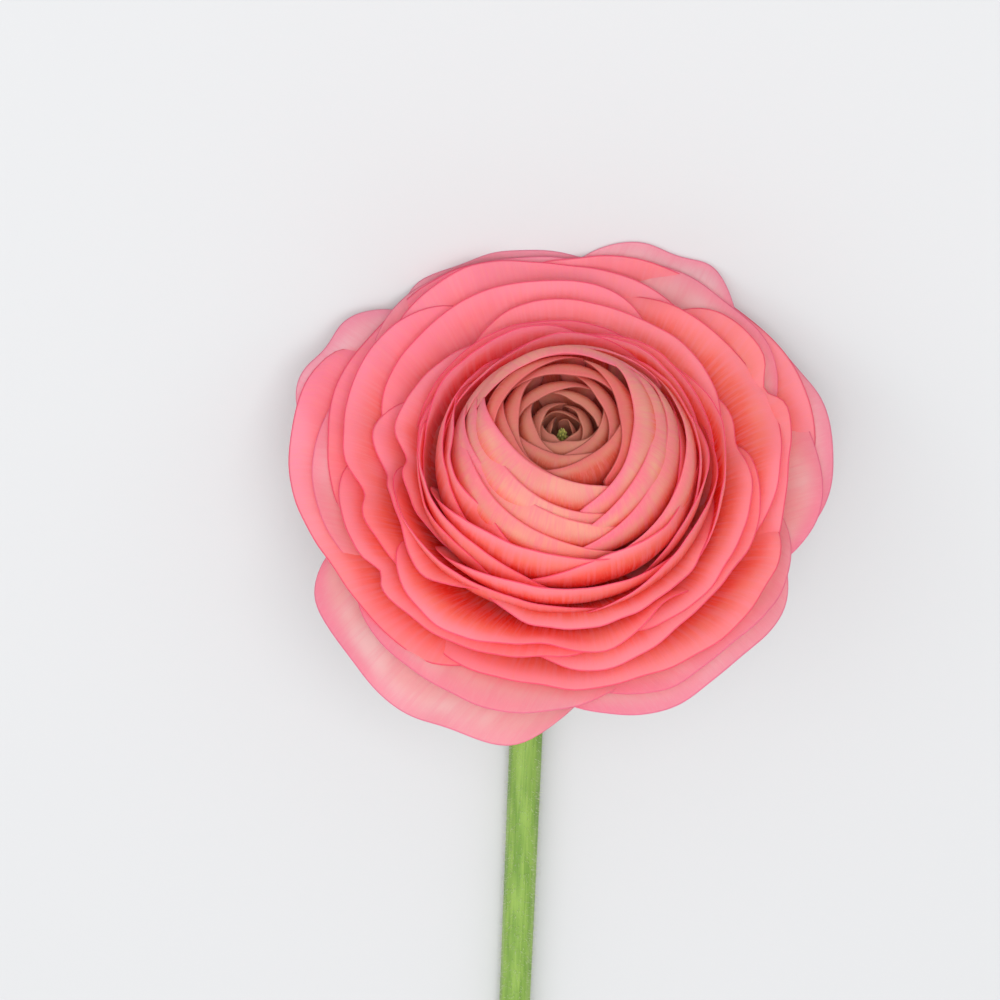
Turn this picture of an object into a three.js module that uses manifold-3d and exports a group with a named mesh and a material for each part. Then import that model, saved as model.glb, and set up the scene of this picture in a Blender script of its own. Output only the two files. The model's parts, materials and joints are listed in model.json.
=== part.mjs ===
// A cut ranunculus bloom on its own short stem, lying on its back on a flat surface.
//
// The frame is millimetres with +Z up. The stem lies along -Y and the bloom's axis leans
// from +Z towards +Y. Petals are placed from the eye outwards in six whorls, each petal by
// the same rule: a curve from its root on the receptacle to the middle of its rim, turned
// about the bloom's axis as far as the petal is wide.

import * as THREE from "three";
import Module from "manifold-3d";

const wasm = await Module();
wasm.setup();

// Driving dimensions
const BLOOM_TILT = 45;
const BLOOM_HEIGHT = 20.3;
const PETAL_THICKNESS = 0.6;
const CLEARANCE = 0.3;

// How the lowest petals bend before they lie flat on the surface, and how far the petals that
// lie one on the other there are apart
const PRESS_SOFTNESS = 0.6;
const LOWEST_AZIMUTH = 90;
const STACKED_WITHIN = 75;
const STACK_STEP = 0.3;

// The stem, from its neck under the bloom to its cut end
const STEM_SIDES = 12;
const NECK_RADIUS = 3.1;
const STEM_RADIUS = 2.9;
const STEM_END_RADIUS = 2.7;
const NECK_TOP = -5.0;
const LYING_START = { x: -5.3, y: -38.0 };
const CUT_END = { x: -8.6, y: -128.0 };
const NECK_HANDLE = 13.0;
const LYING_HANDLE = 17.0;
const NECK_STEPS = 10;
const LYING_STEPS = 3;

// The sepals, which bend back from the petals
const SEPAL_COUNT = 5;
const SEPAL_AZIMUTH = 20.0;
const SEPAL_ROOT = { radius: 3.4, height: -2.6 };
const SEPAL_LENGTH = 14.0;
const SEPAL_HALF_WIDTH = 5.4;
const SEPAL_SAG = 6.0;
const SEPAL_CUP = 0.8;
const SEPAL_THICKNESS = 0.9;
const SEPAL_GRID = { cols: 4, rows: 3, start: 0, towardsRim: 1 };

// The receptacle's outline as radius and height on the bloom's axis
const RECEPTACLE = [
  [0, -7.0], [3.0, -7.0], [3.5, -4.5], [4.2, -2.4], [4.3, -0.4], [4.0, 1.4],
  [3.4, 4.4], [2.7, 7.0], [2.0, 9.6], [1.2, 11.8], [0, 12.0],
];
const RECEPTACLE_SIDES = 12;

// The eye, a cluster of closed carpels on top of the receptacle
const EYE_BASE = 12.4;
const EYE_TOP = 22.6;
const EYE_RADIUS = 1.75;
const EYE_LEAN = [-0.6, 2.2];
const EYE_RINGS = 6;
const EYE_SIDES = 15;
const EYE_CARPELS = 5;
const EYE_FURROW = 0.14;
const EYE_TWIST = 0.8;

// Azimuth from one petal to the next
const GOLDEN_ANGLE = 137.508;
const THREE_RANKS = 120.0;

// The height at which a petal has its whorl's full sideways lean
const LEAN_HEIGHT = 24.0;

// A petal is narrow at its root and has its full width from this share of its length on
const ROOT_WIDTH_SHARE = 0.3;
const FULL_WIDTH_FROM = 0.62;

// Shape of a petal's rim
const RIM_ROUNDNESS = 0.8;
const RIM_ASYMMETRY = 0.25;
const RIM_LENGTH_SPREAD = 0.03;
const NOTCH_DEPTH = 0.1;
const NOTCH_WIDTH = 0.09;
const NOTCHED_ABOVE = 0.6;
const NOTCHED_UNTIL = 0.9;

// Waves that run round the bloom through all petals: height, count and drift from petal to petal
const WAVES = [
  { height: 0.8, count: 3, phase: 1.3, drift: 0.09 },
  { height: 0.36, count: 7, phase: 0.4, drift: -0.13 },
];
const WAVE_START_POWER = 3.5;
const ROLL_POWER = 10;
const CURL = 0.32;
const SIDE_TWIST = 0.18;

// Cores that hold the roots of one colour's petals: how far they reach up the first petal, the
// petal at the crest and the last petal, and how deep they bury the first and last ones
const CORE_STEPS = 4;
const CORE_SIDES = 18;
const INNER_PETALS = {
  names: ["young", "heart", "dome"], crest: 19, reach: [0.88, 0.93, 0.86], cover: [0, 0.5],
};
const CORAL_PETALS = { names: ["cup", "open"], crest: 17, reach: [0.8, 0.8, 0.6], cover: [0.5, 0.5] };
const GUARD_PETALS = { names: ["guard"], crest: 5, reach: [0.3, 0.3, 0.3], cover: [0.4, 0.4] };

// The whorls from the eye outwards. Each pair holds the value at a whorl's first petal and at
// its last one. Points are radius and height on the bloom's axis, angles are in degrees from
// straight outwards, and shares are of a petal's length.
const WHORLS = {
  young: {
    count: 7, azimuth: 40, turn: GOLDEN_ANGLE, jitter: 24,
    root: [[1.9, 12.0], [2.1, 11.4]], rootAngle: [85, 70], rootHandle: [5.0, 6.5],
    rim: [[1.4, 23.2], [2.9, 24.3]], rimAngle: [118, 165], rimHandle: [4.0, 4.0],
    halfWidth: [3.2, 5.5], halfAngle: [75, 70], shoulder: [0.86, 0.84], squareness: [1.6, 1.6],
    lean: [[-0.6, 2.2], [-0.55, 2.1]], wave: 0, roll: 0, skew: [0, 0], ripple: 0.006,
    slant: 0.1, spread: [0.2, 0.2, 0], grid: { cols: 3, rows: 1, start: 0.8, towardsRim: 1 },
  },
  heart: {
    count: 13, azimuth: 282.6, turn: GOLDEN_ANGLE, jitter: 24,
    root: [[2.2, 11.2], [2.7, 9.9]], rootAngle: [66, 30], rootHandle: [7.0, 11.0],
    rim: [[3.5, 24.7], [9.0, 26.75]], rimAngle: [188, 171], rimHandle: [4.4, 6.0],
    halfWidth: [6.5, 14.0], halfAngle: [70, 66], shoulder: [0.83, 0.80], squareness: [1.6, 1.8],
    lean: [[-0.5, 2.1], [-0.4, 1.9]], wave: 0, roll: 0, skew: [0, 0], ripple: 0.006,
    slant: 0.12, spread: [0.4, 0.2, 0], grid: { cols: 3, rows: 1, start: 0.83, towardsRim: 1 },
  },
  dome: {
    count: 11, azimuth: 225, turn: THREE_RANKS, jitter: 14,
    root: [[2.8, 9.4], [3.2, 7.6]], rootAngle: [24, 11], rootHandle: [12.2, 15.0],
    rim: [[9.4, 27.2], [16.6, 22.8]], rimAngle: [168, 130], rimHandle: [8.2, 8.0],
    halfWidth: [19.0, 24.0], halfAngle: [72, 72], shoulder: [0.78, 0.72], squareness: [2.0, 2.2],
    lean: [[-0.2, 1.7], [1.2, 0.2]], wave: 0.1, roll: 0, skew: [0.3, 0.4], ripple: 0.006,
    slant: 0.16, spread: [0.6, 0.3, 0], grid: { cols: 4, rows: 2, start: 0.7, towardsRim: 1 },
  },
  cup: {
    count: 18, azimuth: 200, turn: GOLDEN_ANGLE, jitter: 16,
    root: [[3.4, 6.6], [3.8, 4.6]], rootAngle: [7, -2], rootHandle: [16.6, 18.0],
    rim: [[17.3, 22.2], [24.8, 16.2]], rimAngle: [118, 92], rimHandle: [7.2, 6.5],
    halfWidth: [24.0, 28.0], halfAngle: [66, 60], shoulder: [0.64, 0.62], squareness: [2.6, 3.2],
    lean: [[0.8, 0.1], [-0.6, 0.8]], wave: 0.28, roll: 0.25, skew: [0.4, 1.5], ripple: 0.008,
    slant: 0.34, spread: [1.4, 1.0, 10], grid: { cols: 5, rows: 2, start: 0.7, towardsRim: 1 },
  },
  open: {
    count: 17, azimuth: 155, turn: GOLDEN_ANGLE, jitter: 16,
    root: [[4.0, 3.8], [4.4, 2.2]], rootAngle: [-5, -8], rootHandle: [17.5, 17.0],
    rim: [[26.2, 15.7], [39.6, 10.2]], rimAngle: [44, 24], rimHandle: [7.0, 10.0],
    halfWidth: [31.0, 40.0], halfAngle: [62, 57], shoulder: [0.60, 0.70], squareness: [3.2, 6.5],
    lean: [[-0.8, 1.4], [-2.2, 10.0]], wave: 0.8, roll: 0.9, skew: [0.2, 1.8], ripple: 0.012,
    slant: 0.26, spread: [2.0, 1.2, 16], grid: { cols: 5, rows: 2, start: 0.45, towardsRim: 1.3 },
  },
  guard: {
    count: 12,
    root: [[4.7, 1.0], [4.9, -1.6]], rootAngle: [-12, -16], rootHandle: [17.0, 17.0],
    rim: [[38.2, 9.4], [43.0, 5.8]], rimAngle: [16, 0], rimHandle: [11.0, 12.0],
    halfWidth: [28.0, 28.0], halfAngle: [50, 48], shoulder: [0.6, 0.6], squareness: [4.4, 4.4],
    lean: [[0, 0], [0, 0]], wave: 0.8, roll: 0.3, skew: [0, 0], ripple: 0.012,
    slant: 0, spread: [0, 0.3, 0], grid: { cols: 5, rows: 3, start: 0.15, towardsRim: 1.5 },
  },
};
const PAIRED = [
  "root", "rootAngle", "rootHandle", "rim", "rimAngle", "rimHandle",
  "halfWidth", "halfAngle", "shoulder", "squareness", "lean",
];

// The outermost petals one by one: where each stands, the radius its rim reaches, its share of
// width, how far its rim is bent up and how square its corners are
const GUARDS = [
  { azimuth: 172, reach: 39.0, width: 0.90, rise: 0.0, square: 1.0 },
  { azimuth: 312, reach: 38.0, width: 1.00, rise: 0.0, square: 1.0 },
  { azimuth: 62, reach: 41.2, width: 1.00, rise: 1.6, square: 1.0 },
  { azimuth: 242, reach: 38.4, width: 1.12, rise: 0.0, square: 1.0 },
  { azimuth: 14, reach: 40.0, width: 0.95, rise: 0.0, square: 1.0 },
  { azimuth: 110, reach: 42.0, width: 1.00, rise: 2.4, square: 1.0 },
  { azimuth: 304, reach: 39.6, width: 1.00, rise: 0.4, square: 1.0 },
  { azimuth: 147, reach: 45.2, width: 0.58, rise: 1.4, square: 1.2 },
  { azimuth: 66, reach: 45.6, width: 0.66, rise: 3.4, square: 0.9 },
  { azimuth: 231, reach: 42.5, width: 0.94, rise: -2.0, square: 2.4 },
  { azimuth: 20, reach: 43.2, width: 0.86, rise: 1.0, square: 1.0 },
  { azimuth: 104, reach: 44.6, width: 0.80, rise: 3.4, square: 1.0 },
];

const COLOURS = {
  stem: 0x86a84c,
  eye: 0x7c8236,
  inner_petals: 0xf0948c,
  coral_petals: 0xf0706c,
  guard_petals: 0xf0a4a4,
};

const ROUGHNESS = {
  stem: 0.6,
  eye: 0.7,
  inner_petals: 0.55,
  coral_petals: 0.5,
  guard_petals: 0.55,
};

const radians = THREE.MathUtils.degToRad;
const lerp = THREE.MathUtils.lerp;
const clamp = THREE.MathUtils.clamp;

// A fixed draw between 0 and 1 for one petal and one purpose
function draw(petal, purpose) {
  const value = Math.sin(petal * 12.9898 + purpose * 78.233) * 43758.5453;
  return value - Math.floor(value);
}

function between(pair, share) {
  if (Array.isArray(pair[0])) {
    return pair[0].map((value, i) => lerp(value, pair[1][i], share));
  }
  return lerp(pair[0], pair[1], share);
}

// Every petal of the bloom in order, with its own values worked out from its whorl
function petalList() {
  const petals = [];
  for (const [name, whorl] of Object.entries(WHORLS)) {
    for (let i = 0; i < whorl.count; i += 1) {
      petals.push(petalOf(name, whorl, i, petals.length));
    }
  }
  let lift = 0;
  for (const petal of petals.toReversed()) {
    petal.lift = lift;
    const fromLowest = THREE.MathUtils.euclideanModulo(petal.azimuth - LOWEST_AZIMUTH + 180, 360) - 180;
    if (Math.abs(fromLowest) < STACKED_WITHIN) {
      lift += STACK_STEP;
    }
  }
  return petals;
}

function petalOf(name, whorl, i, number) {
  const share = i / (whorl.count - 1);
  const petal = { name, number, whorl, share };
  for (const key of PAIRED) {
    petal[key] = between(whorl[key], share);
  }
  if (name === "guard") {
    const guard = GUARDS[i];
    petal.azimuth = guard.azimuth;
    petal.rim = [guard.reach, petal.rim[1] + guard.rise];
    petal.halfAngle *= guard.width;
    petal.halfWidth *= guard.width;
    petal.squareness *= guard.square;
  } else {
    petal.azimuth = whorl.azimuth + i * whorl.turn + whorl.jitter * (draw(number, 1) - 0.5);
  }
  const [outwards, upwards, turn] = whorl.spread;
  petal.rim[0] += outwards * (draw(number, 13) - 0.5);
  petal.rim[1] += upwards * (draw(number, 7) - 0.5);
  petal.rimAngle += turn * (draw(number, 14) - 0.5);
  return petal;
}

// The middle curve of a petal: its point (radius, height) and unit direction at share t
function curveAt(petal, t) {
  const [rootAngle, rimAngle] = [radians(petal.rootAngle), radians(petal.rimAngle)];
  const root = new THREE.Vector2(...petal.root);
  const rim = new THREE.Vector2(...petal.rim);
  const rootPull = new THREE.Vector2(Math.cos(rootAngle), Math.sin(rootAngle));
  const rimPull = new THREE.Vector2(Math.cos(rimAngle), Math.sin(rimAngle));
  const second = root.clone().addScaledVector(rootPull, petal.rootHandle);
  const third = rim.clone().addScaledVector(rimPull, -petal.rimHandle);
  const s = 1 - t;
  const point = root.clone().multiplyScalar(s ** 3);
  point.addScaledVector(second, 3 * s * s * t);
  point.addScaledVector(third, 3 * s * t * t);
  point.addScaledVector(rim, t ** 3);
  const direction = second.clone().sub(root).multiplyScalar(s * s);
  direction.addScaledVector(third.clone().sub(second), 2 * s * t);
  direction.addScaledVector(rim.clone().sub(third), t * t);
  return { point, direction: direction.normalize() };
}

// How far along the middle curve the rim lies, for u from -1 to 1 across the petal
function rimShare(petal, u) {
  const n = petal.number;
  const across = Math.abs(u + RIM_ASYMMETRY * (draw(n, 8) - 0.5) * (1 - u * u));
  const round = (1 - Math.min(across, 1) ** petal.squareness) ** RIM_ROUNDNESS;
  let rim = petal.shoulder + (1 - petal.shoulder) * round;
  rim *= 1 + RIM_LENGTH_SPREAD * (draw(n, 2) - 0.5);
  rim *= 1 + petal.whorl.slant * (draw(n, 15) - 0.5) * u;
  const ripple = Math.sin(u * (4 + 5 * draw(n, 3)) + 2 * Math.PI * draw(n, 4));
  rim += petal.whorl.ripple * ripple * (1 - u * u);
  if (petal.name === "open" && petal.share < NOTCHED_UNTIL && draw(n, 9) > NOTCHED_ABOVE) {
    const width = NOTCH_WIDTH * (0.6 + draw(n, 18));
    const fromNotch = (u - 0.9 * (draw(n, 10) - 0.5)) / width;
    rim -= NOTCH_DEPTH * (0.4 + draw(n, 17)) * Math.exp(-fromNotch * fromNotch);
  }
  return rim;
}

function waveAt(angle, number) {
  let wave = 0;
  for (const { height, count, phase, drift } of WAVES) {
    wave += height * Math.sin(count * angle + phase + drift * number);
  }
  return wave;
}

// A point of the petal's middle sheet in the bloom's own frame, for v from its root to its rim
function petalPoint(petal, u, v) {
  const n = petal.number;
  const t = v * rimShare(petal, u);
  const { point, direction } = curveAt(petal, t);
  const grown = clamp(t / FULL_WIDTH_FROM, 0, 1) ** 0.8;
  const halfWidth = petal.halfWidth * lerp(ROOT_WIDTH_SHARE, 1, grown);
  const halfAngle = Math.min(radians(petal.halfAngle), halfWidth / point.x);
  const angle = radians(petal.azimuth) + u * halfAngle;
  const [skewLeast, skewRange] = petal.whorl.skew;
  const skew = skewLeast + skewRange * draw(n, 12);
  let offset = SIDE_TWIST * u * (draw(n, 5) - 0.3);
  offset += CURL * t ** 4 * Math.sin(3 * u + 2 * Math.PI * draw(n, 6));
  offset += petal.whorl.wave * t ** WAVE_START_POWER * waveAt(angle, n);
  offset += petal.whorl.roll * (0.4 + 1.2 * draw(n, 16)) * v ** ROLL_POWER;
  offset -= skew * u * t * t;
  const radius = point.x + direction.y * offset;
  const height = point.y - direction.x * offset;
  const leaned = leanAt(petal.lean, height);
  const x = radius * Math.cos(angle) + leaned.x;
  const y = radius * Math.sin(angle) + leaned.y;
  return new THREE.Vector3(x, y, height);
}

function leanAt(lean, height) {
  const share = clamp(height / LEAN_HEIGHT, 0, 1.1);
  return new THREE.Vector2(lean[0] * share, lean[1] * share);
}

// From the bloom's own frame to the flower's, with the tilt of the bloom
function tilted(point) {
  const angle = radians(BLOOM_TILT);
  const y = point.y * Math.cos(angle) + point.z * Math.sin(angle);
  const z = -point.y * Math.sin(angle) + point.z * Math.cos(angle) + BLOOM_HEIGHT;
  return new THREE.Vector3(point.x, y, z);
}

// A petal that would reach below the surface, or below the petals that lie there first, is
// bent up and lies flat along it
function pressed(point, floor) {
  const above = point.z - floor;
  const bent = clamp(above + PRESS_SOFTNESS, 0, 2 * PRESS_SOFTNESS);
  const z = floor + bent ** 2 / (4 * PRESS_SOFTNESS) + Math.max(above - PRESS_SOFTNESS, 0);
  return new THREE.Vector3(point.x, point.y, z);
}

// A closed solid from points and triangles
function solid(points, triangles) {
  const vertProperties = new Float32Array(points.flatMap((p) => [p.x, p.y, p.z]));
  const triVerts = new Uint32Array(triangles.flat());
  return new wasm.Manifold(new wasm.Mesh({ numProp: 3, vertProperties, triVerts }));
}

// A thin closed blade about a sheet given as place(u, v), u from -1 to 1 and v from start to 1.
// Growth makes it larger by that much on every side, and towardsRim sets its rows closer there.
function blade(place, { cols, rows, start, towardsRim }, thickness, growth) {
  const step = 0.01;
  const half = thickness / 2 + growth;
  const upper = [];
  const lower = [];
  for (let j = 0; j <= rows; j += 1) {
    for (let i = 0; i <= cols; i += 1) {
      const u = -1 + 2 * i / cols;
      const v = 1 - (1 - start) * (1 - j / rows) ** towardsRim;
      const across = place(Math.min(u + step, 1), v).sub(place(Math.max(u - step, -1), v));
      const along = place(u, Math.min(v + step, 1)).sub(place(u, v - step));
      across.normalize();
      along.normalize();
      const middle = place(u, v);
      const normal = across.clone().cross(along).normalize();
      if (i === 0 || i === cols) {
        middle.addScaledVector(across, Math.sign(u) * growth);
      }
      if (j === rows) {
        middle.addScaledVector(along, growth);
      }
      upper.push(middle.clone().addScaledVector(normal, half));
      lower.push(middle.clone().addScaledVector(normal, -half));
    }
  }
  return solid([...upper, ...lower], bladeTriangles(cols, rows));
}

function bladeTriangles(cols, rows) {
  const triangles = [];
  const width = cols + 1;
  const back = width * (rows + 1);
  for (let j = 0; j < rows; j += 1) {
    for (let i = 0; i < cols; i += 1) {
      const a = j * width + i;
      const [b, c, d] = [a + 1, a + width + 1, a + width];
      triangles.push([a, b, c], [a, c, d]);
      triangles.push([back + a, back + c, back + b], [back + a, back + d, back + c]);
    }
  }
  const ring = [];
  for (let i = 0; i < cols; i += 1) {
    ring.push(i);
  }
  for (let j = 0; j < rows; j += 1) {
    ring.push(j * width + cols);
  }
  for (let i = cols; i > 0; i -= 1) {
    ring.push(rows * width + i);
  }
  for (let j = rows; j > 0; j -= 1) {
    ring.push(j * width);
  }
  ring.forEach((a, i) => {
    const b = ring[(i + 1) % ring.length];
    triangles.push([a, back + a, back + b], [a, back + b, b]);
  });
  return triangles;
}

// A solid turned about the bloom's axis from a closed outline of radius and height
function turned(outline, sides, place) {
  const points = [];
  const triangles = [];
  const rings = outline.map(([radius, height], k) => {
    if (radius === 0) {
      points.push(place(0, 0, height, k));
      return [points.length - 1];
    }
    const ring = [];
    for (let i = 0; i < sides; i += 1) {
      const angle = 2 * Math.PI * i / sides;
      points.push(place(radius * Math.cos(angle), radius * Math.sin(angle), height, k));
      ring.push(points.length - 1);
    }
    return ring;
  });
  const closesOnItself = outline[0][0] !== 0;
  const last = closesOnItself ? rings.length : rings.length - 1;
  for (let k = 0; k < last; k += 1) {
    const [low, high] = [rings[k], rings[(k + 1) % rings.length]];
    for (let i = 0; i < sides; i += 1) {
      const j = (i + 1) % sides;
      if (low.length > 1) {
        triangles.push([low[i], low[j], high[j % high.length]]);
      }
      if (high.length > 1) {
        triangles.push([low[i % low.length], high[j], high[i]]);
      }
    }
  }
  return solid(points, triangles);
}

// The hidden body that the roots of some whorls share: it runs up the inner side of the first
// petal, over to the crest and the last petal and back down to the receptacle.
function core(petals, { crest, reach, cover }, growth) {
  const first = petals[0];
  const last = petals[petals.length - 1];
  const rings = [];
  for (let k = 0; k <= CORE_STEPS; k += 1) {
    rings.push(coreRing(last, reach[2] * k / CORE_STEPS, cover[1], growth));
  }
  const top = curveAt(petals[crest], reach[1]);
  const leaned = leanAt(petals[crest].lean, top.point.y);
  const raised = top.point.addScaledVector(top.direction, growth);
  rings.push({ outline: [raised.x, raised.y], leaned });
  for (let k = CORE_STEPS; k >= 0; k -= 1) {
    rings.push(coreRing(first, reach[0] * k / CORE_STEPS, -cover[0], -growth));
  }
  const place = (x, y, z, k) => {
    const { leaned: shift } = rings[k];
    return tilted(new THREE.Vector3(x + shift.x, y + shift.y, z));
  };
  return turned(rings.map((ring) => ring.outline), CORE_SIDES, place);
}

// A ring of the core at share t of a petal, beside its middle curve. Its lean is the same at
// any growth.
function coreRing(petal, t, offset, growth) {
  const { point, direction } = curveAt(petal, t);
  const leaned = leanAt(petal.lean, point.y - direction.x * offset);
  const beside = offset + growth;
  return { outline: [point.x + direction.y * beside, point.y - direction.x * beside], leaned };
}

function petalBlade(petal, growth) {
  const floor = PETAL_THICKNESS / 2 + petal.lift;
  const place = (u, v) => pressed(tilted(petalPoint(petal, u, v)), floor);
  return blade(place, petal.whorl.grid, PETAL_THICKNESS, growth);
}

// All petals of some whorls with the core that holds their roots
function petalBody(petals, group, growth = 0) {
  const chosen = petals.filter((petal) => group.names.includes(petal.name));
  let body = core(chosen, group, 2 * growth);
  for (const petal of chosen) {
    body = body.add(petalBlade(petal, growth));
  }
  return body;
}

// The largest piece of a body by its outer skin alone, so sealed hollows are filled
function outerSkin(body) {
  const pieces = body.decompose();
  pieces.sort((a, b) => b.volume() - a.volume());
  return pieces[0];
}

// The receptacle, a cone that every petal is rooted on
function receptacle(growth = 0) {
  const outline = RECEPTACLE.map(([radius, height]) => [radius && radius + growth, height]);
  outline[outline.length - 1][1] += growth;
  return turned(outline, RECEPTACLE_SIDES, (x, y, z) => tilted(new THREE.Vector3(x, y, z)));
}

// The eye: a cluster of closed carpels, as a waved spindle that follows the bloom's lean
function eye(growth = 0) {
  const outline = [[0, EYE_BASE - growth]];
  for (let k = 0; k <= EYE_RINGS; k += 1) {
    const share = k / EYE_RINGS;
    const height = lerp(EYE_BASE - growth, EYE_TOP + growth, share);
    const taper = Math.min(1, 0.62 + 0.6 * share) * Math.sqrt(Math.max(1 - share ** 5, 0.06));
    outline.push([EYE_RADIUS * taper + growth, height]);
  }
  outline.push([0, EYE_TOP + growth]);
  const place = (x, y, z) => {
    const leaned = leanAt(EYE_LEAN, z);
    const turn = EYE_CARPELS * Math.atan2(y, x) + EYE_TWIST * z;
    const furrow = 1 - EYE_FURROW * Math.cos(turn) ** 2;
    const scale = growth ? 1 : furrow;
    return tilted(new THREE.Vector3(x * scale + leaned.x, y * scale + leaned.y, z));
  };
  return turned(outline, EYE_SIDES, place);
}

// The stem's middle line: a bent neck under the bloom, then straight along the surface
function stemStations() {
  const neckTop = tilted(new THREE.Vector3(0, 0, NECK_TOP));
  const down = tilted(new THREE.Vector3(0, 0, NECK_TOP - 1)).sub(neckTop);
  const facet = Math.cos(Math.PI / STEM_SIDES);
  const lying = new THREE.Vector3(LYING_START.x, LYING_START.y, STEM_RADIUS * facet);
  const end = new THREE.Vector3(CUT_END.x, CUT_END.y, STEM_END_RADIUS * facet);
  const ahead = new THREE.Vector3(end.x - lying.x, end.y - lying.y, 0).normalize();
  const neck = new THREE.CubicBezierCurve3(
    neckTop,
    neckTop.clone().addScaledVector(down, NECK_HANDLE),
    lying.clone().addScaledVector(ahead, -LYING_HANDLE),
    lying,
  );
  const stations = [];
  for (let k = 0; k <= NECK_STEPS; k += 1) {
    const share = k / NECK_STEPS;
    const radius = lerp(NECK_RADIUS, STEM_RADIUS, share);
    stations.push({ centre: neck.getPoint(share), direction: neck.getTangent(share), radius });
  }
  for (let k = 1; k <= LYING_STEPS; k += 1) {
    const share = k / LYING_STEPS;
    const radius = lerp(STEM_RADIUS, STEM_END_RADIUS, share);
    const centre = lying.clone().lerp(end, share);
    centre.z = radius * facet;
    stations.push({ centre, direction: ahead, radius });
  }
  return stations;
}

function stemTube() {
  const stations = stemStations();
  const points = [];
  const triangles = [];
  for (const { centre, direction, radius } of stations) {
    const side = new THREE.Vector3(1, 0, 0);
    side.addScaledVector(direction, -side.dot(direction)).normalize();
    const up = direction.clone().cross(side).normalize();
    for (let i = 0; i < STEM_SIDES; i += 1) {
      const angle = 2 * Math.PI * (i + 0.5) / STEM_SIDES;
      const point = centre.clone().addScaledVector(side, radius * Math.sin(angle));
      points.push(point.addScaledVector(up, -radius * Math.cos(angle)));
    }
  }
  const first = points.push(stations[0].centre) - 1;
  const last = points.push(stations[stations.length - 1].centre) - 1;
  const lastRing = (stations.length - 1) * STEM_SIDES;
  for (let i = 0; i < STEM_SIDES; i += 1) {
    const j = (i + 1) % STEM_SIDES;
    triangles.push([first, j, i], [last, lastRing + i, lastRing + j]);
    for (let ring = 0; ring < lastRing; ring += STEM_SIDES) {
      const [a, b] = [ring + i, ring + j];
      triangles.push([a, b, b + STEM_SIDES], [a, b + STEM_SIDES, a + STEM_SIDES]);
    }
  }
  return solid(points, triangles);
}

// One sepal: a pointed green blade that bends back from under the bloom
function sepalPoint(azimuth, u, v) {
  const angle = radians(azimuth);
  const out = SEPAL_ROOT.radius + SEPAL_LENGTH * v * (1 - 0.12 * u * u);
  const sag = SEPAL_ROOT.height - SEPAL_SAG * Math.sin(0.5 * Math.PI * v) + SEPAL_CUP * u * u;
  const half = SEPAL_HALF_WIDTH * Math.sin(Math.PI * (0.22 + 0.76 * v)) ** 0.8;
  const x = out * Math.cos(angle) - u * half * Math.sin(angle);
  const y = out * Math.sin(angle) + u * half * Math.cos(angle);
  return tilted(new THREE.Vector3(x, y, sag));
}

function sepal(number, growth) {
  const azimuth = SEPAL_AZIMUTH + 360 * number / SEPAL_COUNT;
  const place = (u, v) => sepalPoint(azimuth, u, v);
  return blade(place, SEPAL_GRID, SEPAL_THICKNESS, growth);
}

// Stem, receptacle and sepals grow as one green body
function stemBody(growth = 0) {
  let body = receptacle(growth);
  for (let k = 0; k < SEPAL_COUNT; k += 1) {
    body = body.add(sepal(k, growth));
  }
  return growth ? body : body.add(stemTube());
}

function meshOf(name, body) {
  const { vertProperties, triVerts } = body.getMesh();
  const geometry = new THREE.BufferGeometry();
  geometry.setAttribute("position", new THREE.BufferAttribute(vertProperties, 3));
  geometry.setIndex(new THREE.BufferAttribute(triVerts, 1));
  geometry.computeVertexNormals();
  const material = new THREE.MeshStandardMaterial({
    color: COLOURS[name], roughness: ROUGHNESS[name], metalness: 0, side: THREE.DoubleSide,
  });
  const mesh = new THREE.Mesh(geometry, material);
  mesh.name = name;
  return mesh;
}

// The flower, each body cut clear of those inside it
function flower() {
  const petals = petalList();
  const stem = outerSkin(stemBody());
  const greens = stemBody(CLEARANCE).add(stem).add(eye(CLEARANCE));
  const inner = petalBody(petals, INNER_PETALS);
  const innerRoom = petalBody(petals, INNER_PETALS, CLEARANCE).add(inner);
  const wholeCoral = petalBody(petals, CORAL_PETALS);
  const coral = wholeCoral.subtract(innerRoom);
  const coralRoom = petalBody(petals, CORAL_PETALS, CLEARANCE).add(wholeCoral);
  const guard = petalBody(petals, GUARD_PETALS).subtract(coralRoom);
  const group = new THREE.Group();
  group.add(meshOf("stem", stem));
  group.add(meshOf("eye", eye()));
  group.add(meshOf("inner_petals", outerSkin(inner.subtract(greens))));
  group.add(meshOf("coral_petals", outerSkin(coral.subtract(greens))));
  group.add(meshOf("guard_petals", outerSkin(guard.subtract(greens))));
  return group;
}

// The origin is on the surface, under the middle of the flower's box
function centred(group) {
  const box = new THREE.Box3().setFromObject(group);
  const middle = box.getCenter(new THREE.Vector3());
  group.position.set(-middle.x, -middle.y, -box.min.z);
  group.updateMatrixWorld(true);
  return group;
}

export default centred(flower());
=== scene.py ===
# A cut ranunculus bloom on its short stem, lying on a pale surface and seen from above.
#
# The petals follow the same rule as the solids that they stand for, with thin sheets in place
# of thick ones. Shapes are worked out in millimetres in the flower's own frame, which has its
# origin on the surface under the bloom, and are moved to the frame in metres at the end.

import json
import math

import bpy
import numpy as np
from mathutils import Matrix, Vector


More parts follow.
